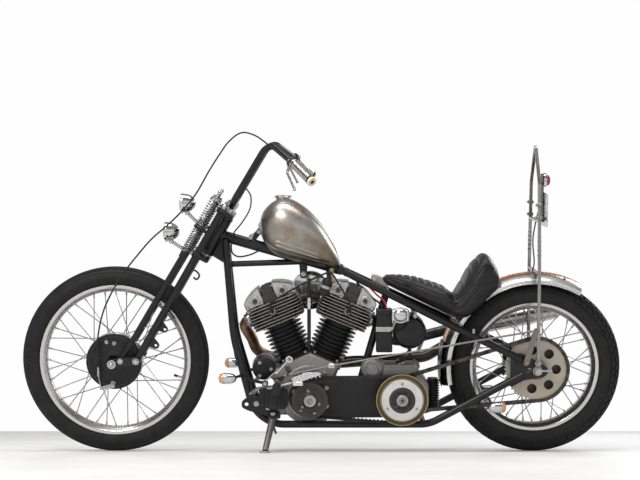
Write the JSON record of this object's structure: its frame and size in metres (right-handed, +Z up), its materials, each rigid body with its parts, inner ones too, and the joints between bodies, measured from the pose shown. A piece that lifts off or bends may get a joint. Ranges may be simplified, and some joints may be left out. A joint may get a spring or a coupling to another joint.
{
  "type": "custom chopper motorcycle",
  "caption": "Long-forked custom motorcycle with a rigid tube frame, exposed air-cooled vee engine, open belt primary, wire wheels, tall bars and sissy bar, leaning on its side stand.",
  "frame": {"origin": "on the floor under the centre of the machine's bounding box", "axes": "+X forward along the wheelbase, +Y to the rider's left, +Z up; the machine leans 11 degrees towards +Y onto its side stand"},
  "size_m": [2.231, 0.7562, 1.1884],
  "materials": {
    "amber_lens": "clear",
    "bare_steel": "brushed, aged",
    "belt_rubber": "matte",
    "black_bar": "satin",
    "black_barrel": "satin",
    "black_fork": "gloss",
    "black_frame": "gloss",
    "black_plate": "satin",
    "bright_chrome": "polished",
    "bright_rim": "polished",
    "cable_sleeve": "satin",
    "case_alloy": "satin",
    "chain_steel": "oiled",
    "clear_lens": "clear",
    "clutch_bronze": "satin",
    "cream_steel": "satin",
    "fender_metal": "polished, heat-tinted crown",
    "head_alloy": "satin",
    "heated_steel": "satin",
    "lamp_chrome": "polished",
    "oil_black": "gloss",
    "peg_rubber": "matte",
    "plated_hub": "satin",
    "polished_alloy": "polished",
    "red_lens": "clear",
    "ribbed_grip": "polished",
    "seat_leather": "satin",
    "tyre_rubber": "matte"
  },
  "bodies": {
    "frame": {"frame_spine": "black_frame", "frame_downtubes": "black_frame", "frame_rails": "black_frame", "frame_stays": "black_frame", "rear_axle": "plated_hub", "crankcase": "case_alloy", "cylinders": "black_barrel", "cylinder_heads": "head_alloy", "rocker_boxes": "polished_alloy", "pushrod_tubes": "bright_chrome", "generator": "black_plate", "air_cleaner": "lamp_chrome", "exhaust_pipes": "heated_steel", "engine_pulley": "case_alloy", "clutch": "clutch_bronze", "clutch_cover": "polished_alloy", "primary_belt": "belt_rubber", "primary_plate": "case_alloy", "gearbox": "case_alloy", "kick_starter": "bright_chrome", "drive_chain": "chain_steel", "fuel_tank": "bare_steel", "fuel_cap": "lamp_chrome", "seat": "seat_leather", "rear_fender": "fender_metal", "sissy_bar": "bright_chrome", "number_plate": "polished_alloy", "tail_lamp": "lamp_chrome", "tail_lens": "red_lens", "oil_tank": "oil_black", "battery_box": "black_plate", "regulator": "lamp_chrome", "ignition_coil": "black_plate", "foot_pegs": "peg_rubber", "foot_controls": "bright_chrome", "brake_linkage": "bare_steel", "turn_signals": "lamp_chrome", "signal_lenses": "amber_lens", "left_bracket": "black_frame"},
    "steering": {"fork_trees": "black_fork", "fork_rear_legs": "black_fork", "fork_front_legs": "black_fork", "fork_springs": "bright_chrome", "spring_rods": "bright_chrome", "fork_rockers": "black_fork", "handlebar": "black_bar", "grips": "ribbed_grip", "hand_levers": "lamp_chrome", "headlamps": "lamp_chrome", "headlamp_lenses": "clear_lens", "front_brake_plate": "black_plate", "front_brake_cable": "cable_sleeve"},
    "front_wheel": {"front_tyre": "tyre_rubber", "front_rim": "bright_rim", "front_hub": "plated_hub"},
    "rear_wheel": {"rear_tyre": "tyre_rubber", "rear_rim": "bright_rim", "rear_hub": "plated_hub", "rear_sprocket": "cream_steel"},
    "side_stand": {"side_stand": "black_frame"}
  },
  "joints": [
    {"name": "steering_turn", "type": "hinge", "parent": "frame", "child": "steering", "pos_m": [0.39061, -0.00925, 0.80003], "axis": [-0.5, 0.1652, 0.8501], "range_deg": [-32, 32]},
    {"name": "front_wheel_spin", "type": "hinge", "parent": "steering", "child": "front_wheel", "pos_m": [0.7675, -0.09836, 0.34161], "axis": [0, 0.9816, -0.1908], "continuous": true},
    {"name": "rear_wheel_spin", "type": "hinge", "parent": "frame", "child": "rear_wheel", "pos_m": [-0.7925, -0.10313, 0.31707], "axis": [0, 0.9816, -0.1908], "continuous": true},
    {"name": "side_stand_fold", "type": "hinge", "parent": "frame", "child": "side_stand", "pos_m": [0.17661, 0.0087, 0.12724], "axis": [-0.0001, 0.8289, 0.5593], "range_deg": [0, 80]}
  ]
}
